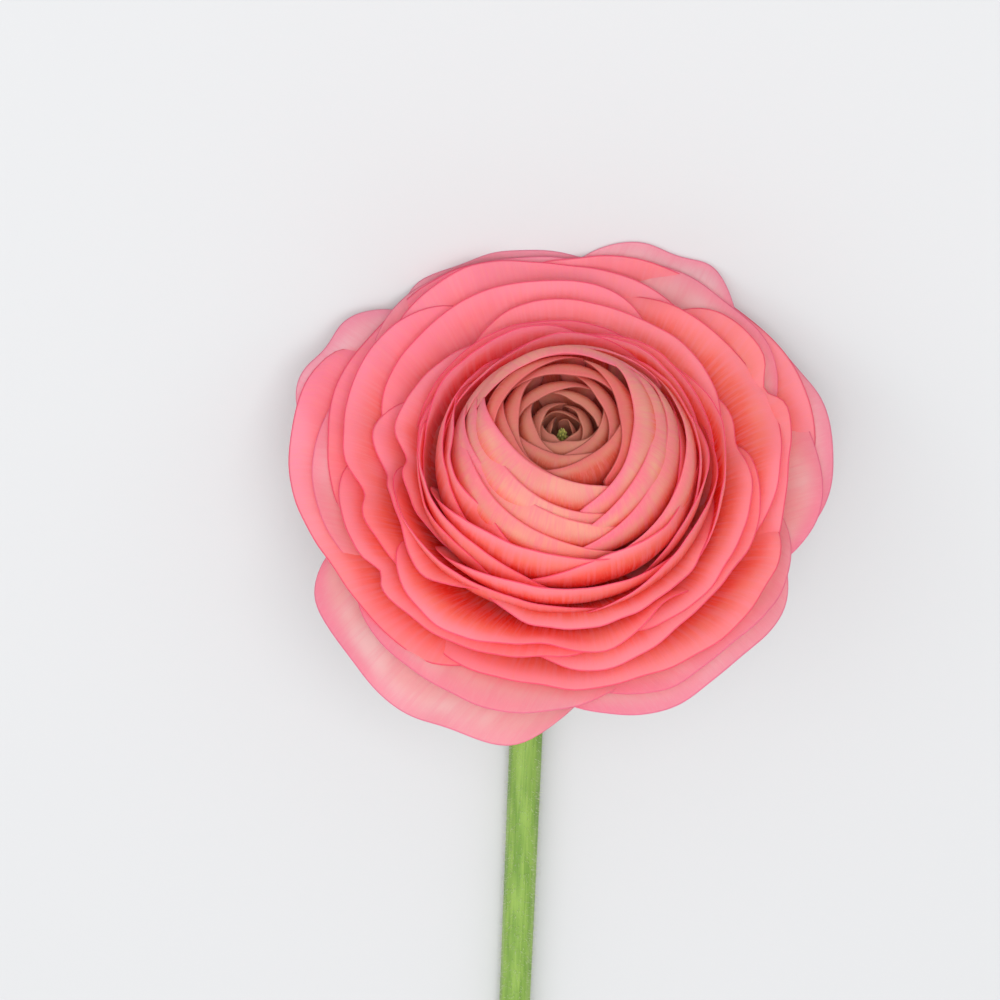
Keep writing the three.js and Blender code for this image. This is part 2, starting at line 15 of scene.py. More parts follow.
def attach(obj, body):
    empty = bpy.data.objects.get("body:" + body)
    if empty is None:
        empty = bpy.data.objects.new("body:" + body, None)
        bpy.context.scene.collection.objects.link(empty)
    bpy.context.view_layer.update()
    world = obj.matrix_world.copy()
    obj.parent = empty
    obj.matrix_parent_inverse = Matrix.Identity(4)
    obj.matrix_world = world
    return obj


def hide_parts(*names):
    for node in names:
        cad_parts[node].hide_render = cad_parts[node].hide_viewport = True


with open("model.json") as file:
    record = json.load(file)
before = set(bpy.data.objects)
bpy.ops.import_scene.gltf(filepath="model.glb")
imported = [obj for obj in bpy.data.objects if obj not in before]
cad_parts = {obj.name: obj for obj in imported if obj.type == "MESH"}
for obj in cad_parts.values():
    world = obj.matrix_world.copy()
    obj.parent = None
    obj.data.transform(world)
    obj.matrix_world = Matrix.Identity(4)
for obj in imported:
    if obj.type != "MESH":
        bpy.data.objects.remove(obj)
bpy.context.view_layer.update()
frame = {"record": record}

MM = 0.001

# The bloom's tilt and height
BLOOM_TILT = 45.0
BLOOM_HEIGHT = 20.3

# How the lowest petals bend before they lie flat on the surface, how high the middle of the
# first one lies, and how far the petals that lie one on the other there are apart
PRESS_SOFTNESS = 0.6
PETAL_FLOOR = 0.15
LOWEST_AZIMUTH = 90.0
STACKED_WITHIN = 75.0
STACK_STEP = 0.3

# A point of the lowest petals' flat underside in the flower's own frame
PETAL_REST = (0.4, 34.8)

# Azimuth from one petal to the next
GOLDEN_ANGLE = 137.508
THREE_RANKS = 120.0

# The height at which a petal has its whorl's full sideways lean, and the most that it leans
LEAN_HEIGHT = 24.0
MOST_LEAN = 1.1

# A petal is narrow at its root and has its full width from this share of its length on
ROOT_WIDTH_SHARE = 0.3
FULL_WIDTH_FROM = 0.62
WIDENING = 0.8

# Shape of a petal's rim. Notches are shares of the petal's length and half width, and only some
# of the open petals have one.
RIM_ROUNDNESS = 0.8
RIM_ASYMMETRY = 0.25
RIM_LENGTH_SPREAD = 0.03
RIPPLE_COUNT = 4
RIPPLE_SPREAD = 5
NOTCH_DEPTH = 0.1
NOTCH_DEPTH_LEAST = 0.4
NOTCH_WIDTH = 0.09
NOTCH_WIDTH_LEAST = 0.6
NOTCH_PLACES = 0.9
NOTCHED_ABOVE = 0.6
NOTCHED_UNTIL = 0.9

# Waves that run round the bloom through all petals: height, count, phase and drift. Those after
# the second one are finer than the solids show.
WAVES = [
    (0.8, 3, 1.3, 0.09), (0.36, 7, 0.4, -0.13), (0.16, 12, 0.0, 0.21),
    (0.12, 19, 0.9, 0.06), (0.09, 31, 2.2, -0.05),
]
WAVE_START_POWER = 3.5

# How a petal is twisted from side to side, curled towards its rim and rolled back at the rim
SIDE_TWIST = 0.18
TWIST_MIDDLE = 0.3
CURL = 0.32
CURL_POWER = 4
CURL_COUNT = 3
ROLL_LEAST = 0.4
ROLL_RANGE = 1.2
ROLL_POWER = 10

# How far the rims of a whorl's petals are ruffled at most, finer than the solids show
RUFFLES = {"dome": 0.2, "cup": 0.7, "open": 1.5, "guard": 0.6}
RUFFLE_POWER = 7
RUFFLE_CROWDING = 1.5

# Thickness of a petal and of its rim, and the distance from the rim over which it grows
PETAL_THICKNESS = 0.3
RIM_THICKNESS = 0.12
THICK_FROM = 2.5

# The side of the bloom that had most sun is pinker
BLUSH_AZIMUTH = 125.0
BLUSH_RADIUS = 40.0

# Rows of a petal's grid lie closer together towards its rim
ROWS_TO_RIM = 1.25

# Steps in which the length of a petal's middle curve is measured
LENGTH_STEPS = 40

# The whorls from the eye outwards. Each pair holds the value at a whorl's first petal and at
# its last one. Points are radius and height on the bloom's axis, angles are in degrees from
# straight outwards, and shares are of a petal's length. turn is the azimuth from one petal to
# the next, and jitter is the range of what a draw adds to it. wave, roll, skew, ripple and slant
# are how far a petal is waved, rolled back, turned askew, rippled and slanted at its rim. spread
# is the range in which draws move the rim outwards, upwards and round. grid is the number of
# faces across a petal and along it.
WHORLS = {
    "young": dict(
        count=7, azimuth=40, turn=GOLDEN_ANGLE, jitter=24,
        root=[(1.9, 12.0), (2.1, 11.4)], root_angle=(85, 70), root_handle=(5.0, 6.5),
        rim=[(1.4, 23.2), (2.9, 24.3)], rim_angle=(118, 165), rim_handle=(4.0, 4.0),
        half_width=(3.2, 5.5), half_angle=(75, 70), shoulder=(0.86, 0.84), squareness=(1.6, 1.6),
        lean=[(-0.6, 2.2), (-0.55, 2.1)], wave=0, roll=0, skew=(0, 0), ripple=0.006,
        slant=0.1, spread=(0.2, 0.2, 0), grid=(24, 18),
    ),
    "heart": dict(
        count=13, azimuth=282.6, turn=GOLDEN_ANGLE, jitter=24,
        root=[(2.2, 11.2), (2.7, 9.9)], root_angle=(66, 30), root_handle=(7.0, 11.0),
        rim=[(3.5, 24.7), (9.0, 26.75)], rim_angle=(188, 171), rim_handle=(4.4, 6.0),
        half_width=(6.5, 14.0), half_angle=(70, 66), shoulder=(0.83, 0.80), squareness=(1.6, 1.8),
        lean=[(-0.5, 2.1), (-0.4, 1.9)], wave=0, roll=0, skew=(0, 0), ripple=0.006,
        slant=0.12, spread=(0.4, 0.2, 0), grid=(32, 20),
    ),
    "dome": dict(
        count=11, azimuth=225, turn=THREE_RANKS, jitter=14,
        root=[(2.8, 9.4), (3.2, 7.6)], root_angle=(24, 11), root_handle=(12.2, 15.0),
        rim=[(9.4, 27.2), (16.6, 22.8)], rim_angle=(168, 130), rim_handle=(8.2, 8.0),
        half_width=(19.0, 24.0), half_angle=(72, 72), shoulder=(0.78, 0.72), squareness=(2.0, 2.2),
        lean=[(-0.2, 1.7), (1.2, 0.2)], wave=0.1, roll=0, skew=(0.3, 0.4), ripple=0.006,
        slant=0.16, spread=(0.6, 0.3, 0), grid=(40, 28),
    ),
    "cup": dict(
        count=18, azimuth=200, turn=GOLDEN_ANGLE, jitter=16,
        root=[(3.4, 6.6), (3.8, 4.6)], root_angle=(7, -2), root_handle=(16.6, 18.0),
        rim=[(17.3, 22.2), (24.8, 16.2)], rim_angle=(118, 92), rim_handle=(7.2, 6.5),
        half_width=(24.0, 28.0), half_angle=(66, 60), shoulder=(0.64, 0.62), squareness=(2.6, 3.2),
        lean=[(0.8, 0.1), (-0.6, 0.8)], wave=0.28, roll=0.25, skew=(0.4, 1.5), ripple=0.008,
        slant=0.34, spread=(1.4, 1.0, 10), grid=(44, 30),
    ),
    "open": dict(
        count=17, azimuth=155, turn=GOLDEN_ANGLE, jitter=16,
        root=[(4.0, 3.8), (4.4, 2.2)], root_angle=(-5, -8), root_handle=(17.5, 17.0),
        rim=[(26.2, 15.7), (39.6, 10.2)], rim_angle=(44, 24), rim_handle=(7.0, 10.0),
        half_width=(31.0, 40.0), half_angle=(62, 57), shoulder=(0.60, 0.70), squareness=(3.2, 6.5),
        lean=[(-0.8, 1.4), (-2.2, 10.0)], wave=0.8, roll=0.9, skew=(0.2, 1.8), ripple=0.012,
        slant=0.26, spread=(2.0, 1.2, 16), grid=(56, 34),
    ),
    "guard": dict(
        count=12,
        root=[(4.7, 1.0), (4.9, -1.6)], root_angle=(-12, -16), root_handle=(17.0, 17.0),
        rim=[(38.2, 9.4), (43.0, 5.8)], rim_angle=(16, 0), rim_handle=(11.0, 12.0),
        half_width=(28.0, 28.0), half_angle=(50, 48), shoulder=(0.6, 0.6), squareness=(4.4, 4.4),
        lean=[(0, 0), (0, 0)], wave=0.8, roll=0.3, skew=(0, 0), ripple=0.012,
        slant=0, spread=(0, 0.3, 0), grid=(72, 44),
    ),
}

PAIRED = [
    "root", "root_angle", "root_handle", "rim", "rim_angle", "rim_handle",
    "half_width", "half_angle", "shoulder", "squareness", "lean",
]

# The outermost petals one by one: azimuth, the radius that the rim reaches, share of width,
# how far the rim is bent up and how square its corners are
GUARDS = [
    (172, 39.0, 0.90, 0.0, 1.0), (312, 38.0, 1.00, 0.0, 1.0), (62, 41.2, 1.00, 1.6, 1.0),
    (242, 38.4, 1.12, 0.0, 1.0), (14, 40.0, 0.95, 0.0, 1.0), (110, 42.0, 1.00, 2.4, 1.0),
    (304, 39.6, 1.00, 0.4, 1.0), (147, 45.2, 0.58, 1.4, 1.2), (66, 45.6, 0.66, 3.4, 0.9),
    (231, 42.5, 0.94, -2.0, 2.4), (20, 43.2, 0.86, 1.0, 1.0), (104, 44.6, 0.80, 3.4, 1.0),
]


# What a petal's draws are for, each with a number of its own
DRAWS = {
    "swing": 1, "length": 2, "ripple_count": 3, "ripple_phase": 4, "twist": 5, "curl": 6,
    "rim_height": 7, "asymmetry": 8, "notched": 9, "notch_place": 10, "skew": 12, "reach": 13,
    "rim_angle": 14, "slant": 15, "roll": 16, "notch_depth": 17, "notch_width": 18,
    "ruffle_depth": 19, "ruffle_count": 20, "ruffle_phase": 21,
}


def draw(petal, purpose):
    """A fixed draw between 0 and 1 for one petal and one purpose."""
    value = math.sin(petal * 12.9898 + DRAWS[purpose] * 78.233) * 43758.5453
    return value - math.floor(value)


def petal_list():
    """Every petal of the bloom in order, with its own values worked out from its whorl."""
    petals = []
    for name, whorl in WHORLS.items():
        for i in range(whorl["count"]):
            petals.append(petal_of(name, whorl, i, len(petals)))
    lift = 0.0
    for petal in reversed(petals):
        petal["lift"] = lift
        from_lowest = (petal["azimuth"] - LOWEST_AZIMUTH + 180) % 360 - 180
        if abs(from_lowest) < STACKED_WITHIN:
            lift += STACK_STEP
    return petals


def petal_of(name, whorl, i, number):
    """One petal's values, between those of its whorl's first and last petal."""
    share = i / (whorl["count"] - 1)
    petal = {"name": name, "number": number, "whorl": whorl, "share": share}
    for key in PAIRED:
        first, last = whorl[key]
        petal[key] = np.array(first) * (1 - share) + np.array(last) * share
    if name == "guard":
        azimuth, reach, width, rise, square = GUARDS[i]
        petal["azimuth"] = azimuth
        petal["rim"] = np.array([reach, petal["rim"][1] + rise])
        petal["half_angle"] = petal["half_angle"] * width
        petal["half_width"] = petal["half_width"] * width
        petal["squareness"] = petal["squareness"] * square
    else:
        swing = whorl["jitter"] * (draw(number, "swing") - 0.5)
        petal["azimuth"] = whorl["azimuth"] + i * whorl["turn"] + swing
    outwards, upwards, turn = whorl["spread"]
    petal["rim"] = petal["rim"] + [
        outwards * (draw(number, "reach") - 0.5),
        upwards * (draw(number, "rim_height") - 0.5),
    ]
    petal["rim_angle"] = petal["rim_angle"] + turn * (draw(number, "rim_angle") - 0.5)
    return petal


def heading(degrees):
    """A unit direction in radius and height, at an angle from straight outwards."""
    angle = math.radians(degrees)
    return np.array([math.cos(angle), math.sin(angle)])


def curve_at(petal, t):
    """The middle curve of a petal: its points (radius, height) and unit directions at shares t."""
    root = petal["root"]
    rim = petal["rim"]
    second = root + petal["root_handle"] * heading(petal["root_angle"])
    third = rim - petal["rim_handle"] * heading(petal["rim_angle"])
    t = np.asarray(t)[..., None]
    s = 1 - t
    point = s**3 * root + 3 * s * s * t * second + 3 * s * t * t * third + t**3 * rim
    direction = s * s * (second - root) + 2 * s * t * (third - second) + t * t * (rim - third)
    direction /= np.linalg.norm(direction, axis=-1, keepdims=True)
    return point, direction


def rim_share(petal, u):
    """How far along the middle curve the rim lies, for u from -1 to 1 across the petal."""
    n = petal["number"]
    across = np.abs(u + RIM_ASYMMETRY * (draw(n, "asymmetry") - 0.5) * (1 - u * u))
    rounding = (1 - np.minimum(across, 1) ** petal["squareness"]) ** RIM_ROUNDNESS
    rim = petal["shoulder"] + (1 - petal["shoulder"]) * rounding
    rim = rim * (1 + RIM_LENGTH_SPREAD * (draw(n, "length") - 0.5))
    rim = rim * (1 + petal["whorl"]["slant"] * (draw(n, "slant") - 0.5) * u)
    count = RIPPLE_COUNT + RIPPLE_SPREAD * draw(n, "ripple_count")
    ripple = np.sin(u * count + 2 * math.pi * draw(n, "ripple_phase"))
    rim = rim + petal["whorl"]["ripple"] * ripple * (1 - u * u)
    can_notch = petal["name"] == "open" and petal["share"] < NOTCHED_UNTIL
    if can_notch and draw(n, "notched") > NOTCHED_ABOVE:
        width = NOTCH_WIDTH * (NOTCH_WIDTH_LEAST + draw(n, "notch_width"))
        depth = NOTCH_DEPTH * (NOTCH_DEPTH_LEAST + draw(n, "notch_depth"))
        from_notch = (u - NOTCH_PLACES * (draw(n, "notch_place") - 0.5)) / width
        rim = rim - depth * np.exp(-from_notch * from_notch)
    return rim


def wave_at(angle, number):
    """Height of the bloom's waves at an azimuth, for one petal."""
    return sum(
        height * np.sin(count * angle + phase + drift * number)
        for height, count, phase, drift in WAVES
    )


def petal_sheet(petal, u, v):
    """Points of the petal's middle sheet in the bloom's own frame, and its own coordinates."""
    n = petal["number"]
    rim = rim_share(petal, u)
    t = v * rim
    point, direction = curve_at(petal, t)
    grown = np.clip(t / FULL_WIDTH_FROM, 0, 1) ** WIDENING
    half_width = petal["half_width"] * (ROOT_WIDTH_SHARE + (1 - ROOT_WIDTH_SHARE) * grown)
    half_angle = np.minimum(math.radians(petal["half_angle"]), half_width / point[..., 0])
    angle = math.radians(petal["azimuth"]) + u * half_angle
    skew_least, skew_range = petal["whorl"]["skew"]
    offset = SIDE_TWIST * u * (draw(n, "twist") - TWIST_MIDDLE)
    curl = np.sin(CURL_COUNT * u + 2 * math.pi * draw(n, "curl"))
    offset = offset + CURL * t**CURL_POWER * curl
    offset = offset + petal["whorl"]["wave"] * t**WAVE_START_POWER * wave_at(angle, n)
    roll = petal["whorl"]["roll"] * (ROLL_LEAST + ROLL_RANGE * draw(n, "roll"))
    offset = offset + roll * v**ROLL_POWER
    offset = offset - (skew_least + skew_range * draw(n, "skew")) * u * t * t
    ruffle = RUFFLES.get(petal["name"], 0) * draw(n, "ruffle_depth") ** 2
    count = RIPPLE_COUNT + RIPPLE_SPREAD * draw(n, "ruffle_count")
    turns = count * u + 2 * math.pi * draw(n, "ruffle_phase") + RUFFLE_CROWDING * u * u
    offset = offset + ruffle * v**RUFFLE_POWER * np.sin(turns)
    radius = point[..., 0] + direction[..., 1] * offset
    height = point[..., 1] - direction[..., 0] * offset
    leaned = np.clip(height / LEAN_HEIGHT, 0, MOST_LEAN)
    x = radius * np.cos(angle) + petal["lean"][0] * leaned
    y = radius * np.sin(angle) + petal["lean"][1] * leaned
    middle, _ = curve_at(petal, np.linspace(0, 1, LENGTH_STEPS))
    length = np.linalg.norm(np.diff(middle, axis=0), axis=1).sum()
    from_sun = angle - math.radians(BLUSH_AZIMUTH)
    from_side = (1 - np.abs(u)) * half_angle * point[..., 0]
    from_tip = (1 - v) * rim * length
    own = {
        "from_rim": np.minimum(from_side, from_tip),
        "along": t * length,
        "across": u * petal["half_width"],
        "share": u,
        "blush": 0.5 + 0.5 * np.cos(from_sun) * radius / BLUSH_RADIUS,
    }
    return np.stack([x, y, height], -1), own


def tilted(points):
    """From the bloom's own frame to the flower's, with the tilt of the bloom."""
    angle = math.radians(BLOOM_TILT)
    x, y, z = points[..., 0], points[..., 1], points[..., 2]
    forward = y * math.cos(angle) + z * math.sin(angle)
    height = -y * math.sin(angle) + z * math.cos(angle) + BLOOM_HEIGHT
    return np.stack([x, forward, height], -1)


def pressed(points, lift):
    """A petal that would reach below the surface, or below the petals that lie there first, is
    bent up and lies flat along it."""
    floor = PETAL_FLOOR + lift
    above = points[..., 2] - floor
    bent = np.clip(above + PRESS_SOFTNESS, 0, 2 * PRESS_SOFTNESS)
    height = floor + bent**2 / (4 * PRESS_SOFTNESS)
    height = height + np.maximum(above - PRESS_SOFTNESS, 0)
    return np.stack([points[..., 0], points[..., 1], height], -1)


def sheet_solid(points, thickness):
    """Both faces and the rim of a thin sheet, from a grid of its middle points."""
    across = np.gradient(points, axis=1)
    along = np.gradient(points, axis=0)
    normal = np.cross(across, along)
    normal /= np.maximum(np.linalg.norm(normal, axis=-1, keepdims=True), 1e-9)
    half = 0.5 * thickness[..., None]
    upper = (points + normal * half).reshape(-1, 3)
    lower = (points - normal * half).reshape(-1, 3)
    rows, cols = points.shape[:2]
    index = np.arange(rows * cols).reshape(rows, cols)
    corners = [index[:-1, :-1], index[:-1, 1:], index[1:, 1:], index[1:, :-1]]
    face = np.stack(corners, -1).reshape(-1, 4)
    ring = np.concatenate([index[0, :-1], index[:-1, -1], index[-1, :0:-1], index[:0:-1, 0]])
    after = np.roll(ring, -1)
    under = rows * cols
    edge = np.stack([ring, ring + under, after + under, after], -1)
    return np.concatenate([upper, lower]), np.concatenate([face, face[:, ::-1] + under, edge])


def petal_solid(petal):
    """One petal's points, faces and values for its material."""
    cols, rows = petal["whorl"]["grid"]
    u = np.linspace(-1, 1, cols + 1)
    v = 1 - (1 - np.linspace(0, 1, rows + 1)) ** ROWS_TO_RIM
    v_grid, u_grid = np.meshgrid(v, u, indexing="ij")
    points, own = petal_sheet(petal, u_grid, v_grid)
    grown = np.clip(own["from_rim"] / THICK_FROM, 0, 1)
    thickness = RIM_THICKNESS + (PETAL_THICKNESS - RIM_THICKNESS) * grown
    points, faces = sheet_solid(pressed(tilted(points), petal["lift"]), thickness)
    values = {key: np.tile(value.reshape(-1), 2) for key, value in own.items()}
    values["petal"] = np.full(len(points), float(petal["number"]))
    return points, faces, values


def joined(parts):
    """Several solids as one: their points, faces and values."""
    points = []
    faces = []
    values = {}
    count = 0
    for part_points, part_faces, part_values in parts:
        points.append(part_points)
        faces.append(np.where(part_faces < 0, part_faces, part_faces + count))
        count += len(part_points)
        for key, value in part_values.items():
            values.setdefault(key, []).append(value)
    values = {key: np.concatenate(value) for key, value in values.items()}
    return np.concatenate(points), np.concatenate(faces), values


def flower_shift():
    """The flower's own origin in the frame, in millimetres."""
    mounts = {mount["name"]: mount for mount in frame["record"]["mounts"]}
    rest = np.array(mounts["petal_rest"]["pos_m"]) / MM
    return np.array([rest[0] - PETAL_REST[0], rest[1] - PETAL_REST[1], 0.0])


SHIFT = flower_shift()


def piece(name, solid, material, slot, *nodes):
    """A piece of the flower from points, faces and values, which stands for some CAD nodes."""
    points, faces, values = solid
    corners = [face[:3] if face[3] < 0 else face for face in faces.tolist()]
    mesh = bpy.data.meshes.new(name)
    mesh.from_pydata(((points + SHIFT) * MM).tolist(), [], corners)
    for key, value in values.items():
        attribute = mesh.attributes.new(key, "FLOAT", "POINT")
        attribute.data.foreach_set("value", value.astype(np.float32))
    mesh.polygons.foreach_set("use_smooth", [True] * len(mesh.polygons))
    mesh.materials.append(material)
    made = bpy.data.objects.new(name, mesh)
    bpy.context.scene.collection.objects.link(made)
    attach(made, "root")
    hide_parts(*nodes)
    return made


# Materials


def add(tree, kind, inputs=None, **settings):
    """A node with its settings made and its inputs set or linked."""
    made = tree.nodes.new(kind)
    for name, value in settings.items():
        setattr(made, name, value)
    for name, value in (inputs or {}).items():
        if isinstance(value, bpy.types.NodeSocket):
            tree.links.new(value, made.inputs[name])
        else:
            made.inputs[name].default_value = value
    return made


def value_of(tree, name):
    """A value that each point of the mesh carries."""
    return add(tree, "ShaderNodeAttribute", attribute_name=name).outputs["Fac"]


def calc(tree, operation, a, b=0.0, c=0.0):
    """The result of a calculation with up to three values."""
    made = add(tree, "ShaderNodeMath", {0: a, 1: b, 2: c}, operation=operation)
    return made.outputs[0]


def smooth(tree, value, low, high, out_low=0.0, out_high=1.0):
    """From one result to the other, smoothly, while the value goes from low to high."""
    inputs = {0: value, 1: low, 2: high, 3: out_low, 4: out_high}
    made = add(tree, "ShaderNodeMapRange", inputs, interpolation_type="SMOOTHSTEP")
    return made.outputs[0]


def spot(tree, x, y, z, scale=1.0, detail=2.0):
    """Noise over three values, from 0 to 1."""
    vector = add(tree, "ShaderNodeCombineXYZ", {0: x, 1: y, 2: z}).outputs[0]
    inputs = {"Vector": vector, "Scale": scale, "Detail": detail}
    return add(tree, "ShaderNodeTexNoise", inputs).outputs[0]


def blend(tree, factor, a, b):
    """A colour mix."""
    made = add(tree, "ShaderNodeMix", {"Factor": factor}, data_type="RGBA")
    for socket, value in ((made.inputs[6], a), (made.inputs[7], b)):
        if isinstance(value, bpy.types.NodeSocket):
            tree.links.new(value, socket)
        else:
            socket.default_value = (*value, 1.0)
    return made.outputs[2]


def new_material(name):
    """A material with nothing in it yet."""
    made = bpy.data.materials.new(name)
    made.use_nodes = True
    made.node_tree.nodes.clear()
    return made


# Noise over a petal: its scale across the petal, how far it is drawn out along it, and the step
# from one petal's noise to the next one's
PATCH_SCALE = 0.09
VEIN_SCALE = 1.5
VEIN_STRETCH = 0.05
STREAK_SCALE = 4.5
STREAK_STRETCH = 0.12
NOISE_STEP = 7.31

# Between which values of a noise or a distance a colour comes in, and how much of it is there
# at either value
PALE_PATCHES = (0.42, 0.7, 0.0, 0.8)
ONE_SIDE = (-0.6, 0.7)
SUN_FROM = (0.75, 1.25)
VEINS_FROM = (0.42, 0.66)
STREAKS_FROM = (0.45, 0.75)
EDGE_SHARE = 0.8
YOUNG_SHARE = 0.5

# Patches move the washes of colour by this far, and make the sunned side uneven
PATCHED_REACH = 3.0
PATCHED_SUN = 0.5

# In the outer coral petals a distance from the rim counts for this share of it, so that the wash
# reaches further in and the painted shade starts further in
PINKER_REACH = 0.55

# Height of veins and of streaks in the surface's relief, and the relief's strength and depth
VEIN_HEIGHT = 0.7
STREAK_HEIGHT = 0.3
PETAL_RELIEF = (0.25, 0.0002)

# Between which values of the streaks the roughness goes from its third number to its fourth
PETAL_ROUGHNESS = (0.3, 0.7, 0.45, 0.6)

# Looks of the petals. Colours are linear red, green and blue: the body of a petal is middle
# with pale patches, turns to depth away from the rim and to wash near it, and has a fine edge.
# depth is painted shade: a deeper red that stands in for the shade where a petal runs in under
# the next one. edge_width and wash_ends are distances from the rim, and so is the pair between
# which the painted shade comes in. sided is how much less wash one side of a petal has, through
# is the share of light that passes through, and blush is how far the sunned side turns to sun.
# veined and streaked are the shares of wash in the veins and of pale in the streaks. Petals from
# the first to the second number of young turn from olive to their own colour, and those of
# pinker from more painted shade to more pink wash.
PETAL_LOOKS = {
    "heart": dict(
        depth=(0.80, 0.13, 0.08), middle=(0.84, 0.30, 0.22), pale=(0.85, 0.38, 0.28),
        wash=(0.87, 0.23, 0.24), edge=(0.42, 0.07, 0.06), edge_width=0.22,
        wash_ends=(0.2, 1.8), painted_shade_from=(1.2, 3.4), sided=0.3, through=0.6, young=(1.0, 20.0),
        blush=0.0, sun=(0.88, 0.26, 0.27), veined=0.5, streaked=0.32,
    ),
    "dome": dict(
        depth=(0.93, 0.20, 0.12), middle=(0.91, 0.45, 0.37), pale=(0.91, 0.60, 0.44),
        wash=(0.95, 0.32, 0.43), edge=(0.90, 0.24, 0.32), edge_width=0.35,
        wash_ends=(0.3, 2.8), painted_shade_from=(2.3, 5.6), sided=0.9, through=0.62,
        blush=0.3, sun=(0.95, 0.36, 0.50), veined=0.5, streaked=0.32,
    ),
    "coral": dict(
        depth=(0.96, 0.085, 0.04), middle=(0.97, 0.31, 0.23), pale=(0.975, 0.48, 0.40),
        wash=(0.975, 0.48, 0.55), edge=(0.87, 0.10, 0.24), edge_width=0.4,
        wash_ends=(0.5, 3.6), painted_shade_from=(2.8, 8.0), sided=0.35, through=0.7,
        pinker=(42.0, 66.0), blush=0.75, sun=(0.965, 0.42, 0.58), veined=0.5, streaked=0.32,
    ),
    "guard": dict(
        depth=(0.87, 0.42, 0.33), middle=(0.895, 0.57, 0.57), pale=(0.90, 0.72, 0.71),
        wash=(0.89, 0.38, 0.48), edge=(0.83, 0.22, 0.38), edge_width=0.35,
        wash_ends=(0.3, 4.2), painted_shade_from=(9.0, 24.0), sided=0.5, through=0.66,
        blush=0.4, sun=(0.91, 0.50, 0.62), veined=0.26, streaked=0.14,
    ),
}

# The olive that the youngest petals turn from
YOUNG_OLIVE = (0.58, 0.35, 0.20)


def relief(tree, veins, streaks, strength, distance):
    """Fine ridges along veins and streaks, as a normal."""
    low = calc(tree, "MULTIPLY", streaks, STREAK_HEIGHT)
    height = calc(tree, "MULTIPLY_ADD", veins, VEIN_HEIGHT, low)
    inputs = {"Height": height, "Strength": strength, "Distance": distance}
    return add(tree, "ShaderNodeBump", inputs).outputs[0]


def petal_material(name, look):
    """Thin petal tissue, which light partly passes through."""
    made = new_material(name)
    tree = made.node_tree
    from_rim = value_of(tree, "from_rim")
    along = value_of(tree, "along")
    across = value_of(tree, "across")
    share = value_of(tree, "share")
    number = value_of(tree, "petal")
    petal_key = calc(tree, "MULTIPLY", number, NOISE_STEP)

    patches = spot(tree, across, along, petal_key, scale=PATCH_SCALE, detail=2.0)
    vein_run = calc(tree, "MULTIPLY", along, VEIN_STRETCH)
    veins = spot(tree, across, vein_run, petal_key, scale=VEIN_SCALE, detail=3.0)
    streak_run = calc(tree, "MULTIPLY", along, STREAK_STRETCH)
    streaks = spot(tree, across, streak_run, petal_key, scale=STREAK_SCALE, detail=2.0)

    moved = calc(tree, "MULTIPLY_ADD", patches, PATCHED_REACH, -0.5 * PATCHED_REACH)
    reach = calc(tree, "ADD", from_rim, moved)
    if "pinker" in look:
        pinker = smooth(tree, number, *look["pinker"], 1.0, PINKER_REACH)
        reach = calc(tree, "MULTIPLY", reach, pinker)
    body = blend(tree, smooth(tree, patches, *PALE_PATCHES), look["middle"], look["pale"])
    # Painted shade: away from the rim the petal turns to its depth colour, a deeper red for the
    # shade where it runs in under the next petal
    body = blend(tree, smooth(tree, reach, *look["painted_shade_from"]), body, look["depth"])
    near_rim = smooth(tree, reach, *look["wash_ends"], 1.0, 0.0)
    one_side = smooth(tree, share, *ONE_SIDE, 1.0, 1.0 - look["sided"])
    body = blend(tree, calc(tree, "MULTIPLY", near_rim, one_side), body, look["wash"])
    sunned = calc(tree, "MULTIPLY_ADD", patches, PATCHED_SUN, value_of(tree, "blush"))
    body = blend(tree, smooth(tree, sunned, *SUN_FROM, 0.0, look["blush"]), body, look["sun"])
    body = blend(tree, smooth(tree, veins, *VEINS_FROM, 0.0, look["veined"]), body, look["wash"])
    streaked = smooth(tree, streaks, *STREAKS_FROM, 0.0, look["streaked"])
    body = blend(tree, streaked, body, look["pale"])
    edge = smooth(tree, from_rim, 0.0, look["edge_width"], EDGE_SHARE, 0.0)
    colour = blend(tree, edge, body, look["edge"])
    if "young" in look:
        young = smooth(tree, number, *look["young"], YOUNG_SHARE, 0.0)
        colour = blend(tree, young, colour, YOUNG_OLIVE)

    normal = relief(tree, veins, streaks, *PETAL_RELIEF)
    surface = add(
        tree, "ShaderNodeBsdfPrincipled",
        {
            "Base Color": colour, "Normal": normal,
            "Roughness": smooth(tree, streaks, *PETAL_ROUGHNESS),
            "Specular IOR Level": 0.3, "Sheen Weight": 0.12, "Sheen Roughness": 0.4,
        },
    )
    through = add(tree, "ShaderNodeBsdfTranslucent", {"Color": colour, "Normal": normal})
    mixed = add(
        tree, "ShaderNodeMixShader",
        {0: look["through"], 1: surface.outputs[0], 2: through.outputs[0]},
    )
    add(tree, "ShaderNodeOutputMaterial", {"Surface": mixed.outputs[0]})
    return made


# Colours of a green part, as linear red, green and blue
STEM_LOOK = dict(dark=(0.12, 0.23, 0.028), light=(0.215, 0.345, 0.06), rim=(0.28, 0.41, 0.10))
SEPAL_LOOK = dict(dark=(0.11, 0.22, 0.035), light=(0.23, 0.35, 0.09), rim=(0.50, 0.50, 0.26))
CARPEL_LOOK = dict(dark=(0.10, 0.13, 0.025), light=(0.34, 0.36, 0.07), rim=(0.52, 0.48, 0.12))
HAIR_LOOK = dict(dark=(0.50, 0.58, 0.36), light=(0.70, 0.74, 0.55), rim=(0.70, 0.74, 0.55))

# Noise over a green part: its scale across the part, how far it is drawn out along it, a place
# of its own in the noise, and its detail
GREEN_PATCHES = dict(scale=0.25, stretch=0.4, place=0.0, detail=2.0)
GREEN_VEINS = dict(scale=2.2, stretch=0.04, place=5.0, detail=3.0)
GREEN_STREAKS = dict(scale=5.0, stretch=1.0, place=9.0, detail=2.0)

